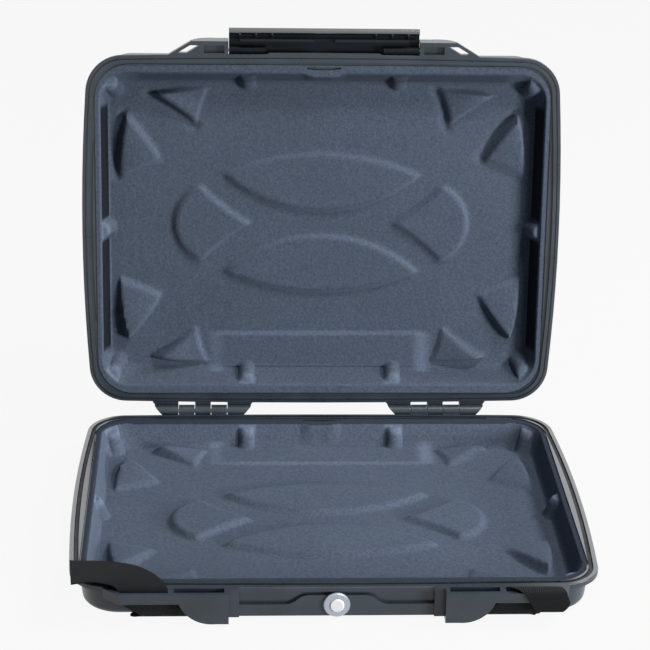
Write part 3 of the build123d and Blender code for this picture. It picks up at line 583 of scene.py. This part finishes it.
def liner_surface(x, y, scoop_side, depth, pad_height):
    """A liner's upper skin: its height from the rim's plane in millimetres, and a value per point that
    paints highlight (above zero), shade (below zero) and the border's tone into the flock.
    """
    border_drop = 0.6
    fall = depth - border_drop
    mouth = rounded_distance(x, y, MOUTH_HALF, TRAY_CORNER)
    floor = rounded_distance(x, y, FLOOR_HALF, TRAY_CORNER)
    bulge = np.where(y * scoop_side > 100, 1 - (x / BULGE_HALF) ** 2, 0)
    mouth = mouth + BULGE_REACH * step(np.maximum(bulge, 0) * 1.2)
    share = -mouth / (floor - mouth)
    share = soft_high(share, np.zeros_like(share), 0.12)
    share = soft_low(share, np.ones_like(share), 0.35)
    height = -border_drop - fall * share

    ax, ay = np.abs(x), np.abs(y)
    middle_y = y + MIDDLE_SHIFT[scoop_side]
    # Painted shade: the lid's side walls between the columns turn near-black.
    painted_shade_wall = (scoop_side < 0) * step((0.98 - share) / 0.08) * step((ax - 180) / 4)
    painted_shade_wall = painted_shade_wall * step((116 - ay) / 10) * step((ay - 7) / 5)
    rise = np.zeros_like(x)
    painted_light_and_tone = np.zeros_like(x)
    groove = np.zeros_like(x)
    dart_share = 0.78 if scoop_side > 0 else 1.0
    outer = step(1.15 - np.hypot(ax - 148.0, ay - 119.0) / 44.0)
    upper = step(1.15 - np.hypot(ax - 174.0, ay - 96.0) / 50.0)
    for across, along, outline, slopes, height_share in (
        (ax, middle_y, CRESCENT, (5.5, 6.5, 5.5), 1.0),
        (x, np.abs(middle_y), LEAF, (6.0, 6.0), 1.0),
        (ax, ay, FRONT_DART, (4.0, 4.5, 5.0), (0.6 + 1.6 * outer) * dart_share),
        (ax, ay, SIDE_DART, (5.0, 9.0, 4.0), (0.6 + 1.7 * upper) * dart_share),
    ):
        lift = pad(across, along, outline, slopes)
        rise = np.maximum(rise, pad_height * height_share * lift)
        # Painted highlight along each pad's slope, stronger in the lid than in the base.
        painted_light_and_tone = np.maximum(painted_light_and_tone, (2.4 - 1.6 * (scoop_side > 0)) * lift * (1 - lift))
    if scoop_side < 0:
        for outline, places in ((FRONT_DART, (2, 0)), (SIDE_DART, (4, 0))):
            ring = outline + outline[:1]
            for place, half in zip(places, (x > 0, x < 0)):
                side = arc(*ring[place : place + 3])
                near = np.maximum(1 - (chain_distance(ax, ay, side[1:-1]) / 6.5) ** 2, 0)
                groove = np.maximum(groove, near**1.5 * half * (y < 0))
        # Painted shade: the grooves beside the lid's darts turn near-black, besides being cut into the
        # floor.
        painted_light_and_tone = painted_light_and_tone * (1 - groove) - 2.2 * groove
    strip = step((104.0 - ax) / 22.0) * step((y - 96.0) / 4.0) * (floor < 3)
    rise = np.maximum(rise, 1.8 * strip)
    # Painted highlight on the strip's slope.
    painted_light_and_tone = np.maximum(painted_light_and_tone, 4 * strip * (1 - strip))
    height = height + (rise - 2.4 * groove) * step(-floor / 2.0)

    column_height = depth - 4.0
    out_x = (MOUTH_HALF[0] - FLOOR_HALF[0]) * column_height / fall
    out_y = (MOUTH_HALF[1] - FLOOR_HALF[1]) * column_height / fall
    inset = TRAY_CORNER * (1 - np.sqrt(0.5))
    for foot, lean in (
        ((66.0, FLOOR_HALF[1]), (0.0, out_y)),
        ((FLOOR_HALF[0], 0.0), (out_x, 0.0)),
        ((FLOOR_HALF[0] - inset, FLOOR_HALF[1] - inset), (out_x, out_y)),
    ):
        share = column_rise(ax, ay, foot, lean)
        height = soft_high(height, -depth + column_height * share, 2.0)
        # Painted highlight on the columns' tips.
        painted_light_and_tone = np.maximum(painted_light_and_tone, step(share * 4 - 2.6))
    sag = 0.35 * np.sin(x / 61.0 + 0.7) * np.sin(y / 47.0 + scoop_side)
    # The border: drawn darker in the base, with faint painted shade on the lid's top border. Below, painted
    # shade darkens the lid's top wall and its side walls.
    border = np.where(scoop_side > 0, -1.25, np.where(y < -138, -0.35, 0.1))
    shaded = (scoop_side < 0) * step((-y - 129.0) / 5.0) * step((170 - ax) / 12.0)
    painted_light_and_tone = painted_light_and_tone * (1 - shaded) - 0.95 * shaded
    painted_light_and_tone = np.where(mouth > -0.4, border, painted_light_and_tone * (1 - painted_shade_wall) - 1.9 * painted_shade_wall)
    return height + sag * step(-floor / 40.0), painted_light_and_tone


def new_liner(name, place, scoop_side, sizes, finish):
    """A moulded liner: a grid warped to the rounded outline, raised, and given its thickness."""
    half_x, half_y = LINER_HALF
    edge_x = np.linspace(178.0, half_x, 34)
    slit_rows = (144.4, SLIT_EDGE - 0.05, SLIT_EDGE, 147.6, half_y)
    edge_y = np.concatenate((np.linspace(120.0, 143.6, 36), slit_rows))
    xs = np.concatenate((-edge_x[::-1], np.linspace(-178.0, 178.0, 168)[1:-1], edge_x))
    ys = np.concatenate((-edge_y[::-1], np.linspace(-120.0, 120.0, 126)[1:-1], edge_y))
    piece = new_grid(name, len(xs), len(ys))
    column, row = grid_indices(piece, len(xs), len(ys))
    x, y = xs[column], ys[row]
    corner_x = np.clip((np.abs(x) - half_x + LINER_CORNER) / LINER_CORNER, 0, 1)
    corner_y = np.clip((np.abs(y) - half_y + LINER_CORNER) / LINER_CORNER, 0, 1)
    pull_x = corner_x * (1 - np.sqrt(1 - corner_y**2 / 2)) * LINER_CORNER
    pull_y = corner_y * (1 - np.sqrt(1 - corner_x**2 / 2)) * LINER_CORNER
    inner_row = len(ys) - 4 if scoop_side > 0 else 3
    slit = (row == inner_row) & (np.abs(x) < SLIT_HALF)
    open_slit(piece, column, row, slit, inner_row, scoop_side)
    x = x - np.sign(x) * pull_x
    y = y - np.sign(y) * pull_y
    y = np.where(slit, y - scoop_side * SLIT_DEPTH * (1 - (x / SLIT_HALF) ** 2), y)
    height, painted_light_and_tone = liner_surface(x, y, scoop_side, sizes.liner_depth / MM, sizes.pad_height / MM)
    # Painted shade: the slit's lips turn near-black.
    painted_light_and_tone = np.where(slit, -1.9, painted_light_and_tone)
    points = np.stack((x, y, height), 1) * MM
    piece.data.vertices.foreach_set("co", points.ravel())
    piece.data.transform(place)
    # The value per point paints highlight and shade into the flock's colour.
    piece.data.attributes.new("painted_light_and_tone", "FLOAT", "POINT").data.foreach_set("value", painted_light_and_tone)
    piece.data.update()
    thicken(piece, sizes.liner_sheet, -1.0)
    bpy.ops.object.shade_smooth_by_angle(angle=radians(50))
    piece.data.materials.clear()
    piece.data.materials.append(finish)
    return piece


def open_slit(piece, column, row, slit, inner_row, scoop_side):
    """Deletes the grid's faces between the slit's bowed row and its straight one."""
    columns = column[slit]
    outer_row = inner_row + scoop_side
    corners = (column >= columns.min() - 1) & (column <= columns.max() + 1)
    corners &= (row == inner_row) | (row == outer_row)
    bpy.ops.object.mode_set(mode="EDIT")
    bpy.ops.mesh.select_mode(type="FACE")
    bpy.ops.mesh.select_all(action="DESELECT")
    bpy.ops.object.mode_set(mode="OBJECT")
    for face in piece.data.polygons:
        face.select = bool(corners[list(face.vertices)].all())
    bpy.ops.object.mode_set(mode="EDIT")
    bpy.ops.mesh.delete(type="ONLY_FACE")
    bpy.ops.object.mode_set(mode="OBJECT")


def thicken(piece, thickness, offset):
    """Gives a sheet its thickness for good."""
    keep_only(piece)
    wall = piece.modifiers.new("wall", "SOLIDIFY")
    wall.thickness = thickness
    wall.offset = offset
    wall.use_even_offset = True
    bpy.ops.object.modifier_apply(modifier=wall.name)


def smooth_line(points, count):
    """Points along a smooth line through the given ones."""
    points = np.array(points, float)
    padded = np.concatenate(([2 * points[0] - points[1]], points, [2 * points[-1] - points[-2]]))
    line = []
    for place in range(len(points) - 1):
        before, start, end, after = padded[place : place + 4]
        for share in np.linspace(0, 1, count, endpoint=False):
            line.append(
                0.5
                * (
                    2 * start
                    + (end - before) * share
                    + (2 * before - 5 * start + 4 * end - after) * share**2
                    + (3 * start - before - 3 * end + after) * share**3
                )
            )
    line.append(points[-1])
    return np.array(line)


def new_webbing(name, stations, thickness, finish, count=10):
    """A stretch of webbing between two smooth edges, with its weave laid along it."""
    left = smooth_line([station[0] for station in stations], count)
    right = smooth_line([station[1] for station in stations], count)
    columns, rows = 13, len(left)
    piece = new_grid(name, columns, rows)
    column, row = grid_indices(piece, columns, rows)
    share = column / (columns - 1)
    points = left[row] * (1 - share)[:, None] + right[row] * share[:, None]
    piece.data.vertices.foreach_set("co", (points * MM).ravel())
    middles = (left + right) / 2
    lengths = np.concatenate(([0], np.cumsum(np.linalg.norm(np.diff(middles, axis=0), axis=1))))
    width = np.linalg.norm(right[0] - left[0])
    loops = np.zeros(len(piece.data.loops), int)
    piece.data.loops.foreach_get("vertex_index", loops)
    weave = np.stack((share[loops] * width, lengths[row[loops]]), 1) * MM
    piece.data.uv_layers[0].data.foreach_set("uv", weave.ravel())
    piece.data.update()
    thicken(piece, thickness, 0.0)
    bpy.ops.object.shade_smooth_by_angle(angle=radians(50))
    piece.data.materials.clear()
    piece.data.materials.append(finish)
    return piece


class CASE_OT_shells(bpy.types.Operator):
    """Finishes the moulded shells and the latch."""

    bl_idname = "case.shells"
    bl_label = "Shells and latch"

    def execute(self, context):
        colours = context.scene.case_colours
        for node, place, polish in (
            ("base_shell", base_place, 1.0),
            ("lid_shell", lid_place, 0.05),
        ):
            shell = moulded_plastic(node + "_plastic", colours.shell, 0.5)
            cover(polish_rim(shell, place, polish).material, node)
        latch = moulded_plastic("latch_plastic", shade(colours.shell, 0.3), 0.1)
        height = latch.node("ShaderNodeSeparateXYZ", None, {0: latch.place()})
        latch.feed("Coat Weight", latch.wire(height, 2).between(BEAD_HEIGHT - 0.0012, BEAD_HEIGHT))
        latch.shader.inputs["Coat Roughness"].default_value = 0.25
        latch.shader.inputs["Coat IOR"].default_value = 2.3
        cover(latch.material, "latch")
        return {"FINISHED"}


class CASE_OT_fittings(bpy.types.Operator):
    """Finishes the seal, feet, pins and the parts of the valve."""

    bl_idname = "case.fittings"
    bl_label = "Seal, feet, pins and valve"

    def execute(self, context):
        cover(soft_rubber(), "seal_ring", "feet", "valve_gasket")
        cover(ground_steel(), "latch_pin", "hinge_pin_left", "hinge_pin_right")
        cover(satin_metal(), "valve_body", "valve_nut")
        cover(white_cap(), "valve_cap")
        cover(vent_film(), "valve_membrane")
        return {"FINISHED"}


class CASE_OT_liners(bpy.types.Operator):
    """Moulds the soft flocked liners of the base and the lid."""

    bl_idname = "case.liners"
    bl_label = "Flocked liners"

    def execute(self, context):
        sizes = context.scene.case_sizes
        finish = flocked_foam(context.scene.case_colours.flock)
        for name, node, body, place, scoop_side in (
            ("base_liner_skin", "base_liner", "base", base_place, 1),
            ("lid_liner_skin", "lid_liner", "lid", lid_place, -1),
        ):
            piece = new_liner(name, place, scoop_side, sizes, finish)
            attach(piece, body)
            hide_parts(node)
        return {"FINISHED"}


class CASE_OT_webbing(bpy.types.Operator):
    """Lays the strap's webbing through the guards and under the base."""

    bl_idname = "case.webbing"
    bl_label = "Webbing strap"

    def execute(self, context):
        thickness = context.scene.case_sizes.webbing_thickness
        finish = twill_webbing(context.scene.case_colours.webbing)
        for name, stations in (
            ("strap_left_tail", LEFT_TAIL),
            ("strap_left_run", LEFT_RUN),
            ("strap_right_run", RIGHT_RUN),
            ("strap_right_wrap", RIGHT_WRAP),
        ):
            piece = new_webbing(name + "_web", stations, thickness, finish)
            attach(piece, "base")
            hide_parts(name)
            if stations is LEFT_TAIL:
                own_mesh(piece)
        return {"FINISHED"}


class CASE_OT_stage(bpy.types.Operator):
    """Sets the floor, the soft lamps, the world and the camera."""

    bl_idname = "case.stage"
    bl_label = "Stage, lamps and camera"

    def execute(self, context):
        scene = context.scene
        scene.view_settings.view_transform = "Standard"
        bpy.ops.object.select_all(action="DESELECT")
        bpy.ops.mesh.primitive_plane_add(size=12.0, location=(0, 0, 0))
        floor = context.active_object
        floor.name = "floor"
        floor.data.materials.append(pale_floor())
        pale_world(scene)
        self.lamps()
        self.camera(scene)
        return {"FINISHED"}

    def lamps(self):
        """Soft lamps: one low at the right, and two overhead that reach the lid and the base."""
        for name, place, target, size, power in (
            ("side_lamp", (1.85, -1.48, 0.4), (0, 0.05, 0.16), 0.6, 55.0),
            ("back_lamp", (1.85, 0.3, 1.7), (0, 0, 0.03), 0.5, 42.0),
            ("top_lamp", (0.9, -0.6, 2.3), (0, 0.05, 0.12), 0.5, 30.0),
        ):
            lamp = bpy.data.lights.new(name, "AREA")
            lamp.size = size
            lamp.energy = power
            holder = bpy.data.objects.new(name, lamp)
            bpy.context.scene.collection.objects.link(holder)
            holder.location = place
            holder.visible_glossy = name != "side_lamp"
            direction = Vector(target) - Vector(place)
            holder.rotation_euler = direction.to_track_quat("-Z", "Y").to_euler()

    def camera(self, scene):
        """The photograph's camera: its place, turn and lens."""
        yaw, pitch, roll = 0.053384, 0.390045, 0.0217128
        lens = bpy.data.cameras.new("camera")
        lens.sensor_width = 36.0
        lens.lens = 117.666
        lens.clip_start = 0.05
        lens.clip_end = 50.0
        holder = bpy.data.objects.new("camera", lens)
        scene.collection.objects.link(holder)
        holder.matrix_world = (
            Matrix.Translation((-0.0899, -1.58241, 0.83069))
            @ Matrix.Rotation(-yaw, 4, "Z")
            @ Matrix.Rotation(pi / 2 - pitch, 4, "X")
            @ Matrix.Rotation(roll, 4, "Z")
        )
        scene.camera = holder


def pale_floor():
    """A white floor: plain for light, and mostly its own colour to the camera."""
    finish = Finish("pale_floor", 0.9)
    finish.shader.inputs["Base Color"].default_value = (0.3, 0.3, 0.3, 1.0)
    finish.shader.inputs["Specular IOR Level"].default_value = 0.0
    rays = finish.node("ShaderNodeLightPath")
    white = finish.node("ShaderNodeEmission", None, {"Color": (1, 1, 1, 1), "Strength": 1.0})
    seen = finish.wire(rays, "Is Camera Ray").maths(
        "MAXIMUM", finish.wire(rays, "Is Camera Ray"), finish.wire(rays, "Is Glossy Ray")
    )
    blend = finish.node("ShaderNodeMixShader", None, {0: seen * 0.92})
    output = finish.tree.nodes["Material Output"]
    finish.tree.links.new(finish.shader.outputs[0], blend.inputs[1])
    finish.tree.links.new(white.outputs[0], blend.inputs[2])
    finish.tree.links.new(blend.outputs[0], output.inputs[0])
    return finish.material


def pale_world(scene):
    """A plain soft world that looks white to the camera and in reflections."""
    world = scene.world or bpy.data.worlds.new("world")
    scene.world = world
    world.use_nodes = True
    tree = world.node_tree
    tree.nodes.clear()
    rays = tree.nodes.new("ShaderNodeLightPath")
    most = tree.nodes.new("ShaderNodeMath")
    most.operation = "MAXIMUM"
    tree.links.new(rays.outputs["Is Camera Ray"], most.inputs[0])
    tree.links.new(rays.outputs["Is Glossy Ray"], most.inputs[1])
    level = tree.nodes.new("ShaderNodeMapRange")
    level.inputs["To Min"].default_value = 0.06
    level.inputs["To Max"].default_value = 1.0
    tree.links.new(most.outputs[0], level.inputs["Value"])
    background = tree.nodes.new("ShaderNodeBackground")
    background.inputs["Color"].default_value = (1, 1, 1, 1)
    tree.links.new(level.outputs[0], background.inputs["Strength"])
    output = tree.nodes.new("ShaderNodeOutputWorld")
    tree.links.new(background.outputs[0], output.inputs[0])


OPERATORS = (
    CASE_OT_stage,
    CASE_OT_shells,
    CASE_OT_fittings,
    CASE_OT_liners,
    CASE_OT_webbing,
)


class CASE_PT_panel(bpy.types.Panel):
    """Lists the operators that dress the case."""

    bl_idname = "CASE_PT_panel"
    bl_label = "Hard Case"
    bl_space_type = "VIEW_3D"
    bl_region_type = "UI"
    bl_category = "Hard Case"

    def draw(self, context):
        for operator in OPERATORS:
            self.layout.operator(operator.bl_idname)
        for group in (context.scene.case_sizes, context.scene.case_colours):
            for name in group.__annotations__:
                self.layout.prop(group, name)


def register():
    for kind in (CaseSizes, CaseColours, *OPERATORS, CASE_PT_panel):
        bpy.utils.register_class(kind)
    bpy.types.Scene.case_sizes = bpy.props.PointerProperty(type=CaseSizes)
    bpy.types.Scene.case_colours = bpy.props.PointerProperty(type=CaseColours)


def unregister():
    del bpy.types.Scene.case_sizes
    del bpy.types.Scene.case_colours
    for kind in reversed((CaseSizes, CaseColours, *OPERATORS, CASE_PT_panel)):
        bpy.utils.unregister_class(kind)


def main():
    register()
    bpy.ops.case.stage()
    bpy.ops.case.shells()
    bpy.ops.case.fittings()
    bpy.ops.case.liners()
    bpy.ops.case.webbing()


if __name__ == "__main__":
    main()
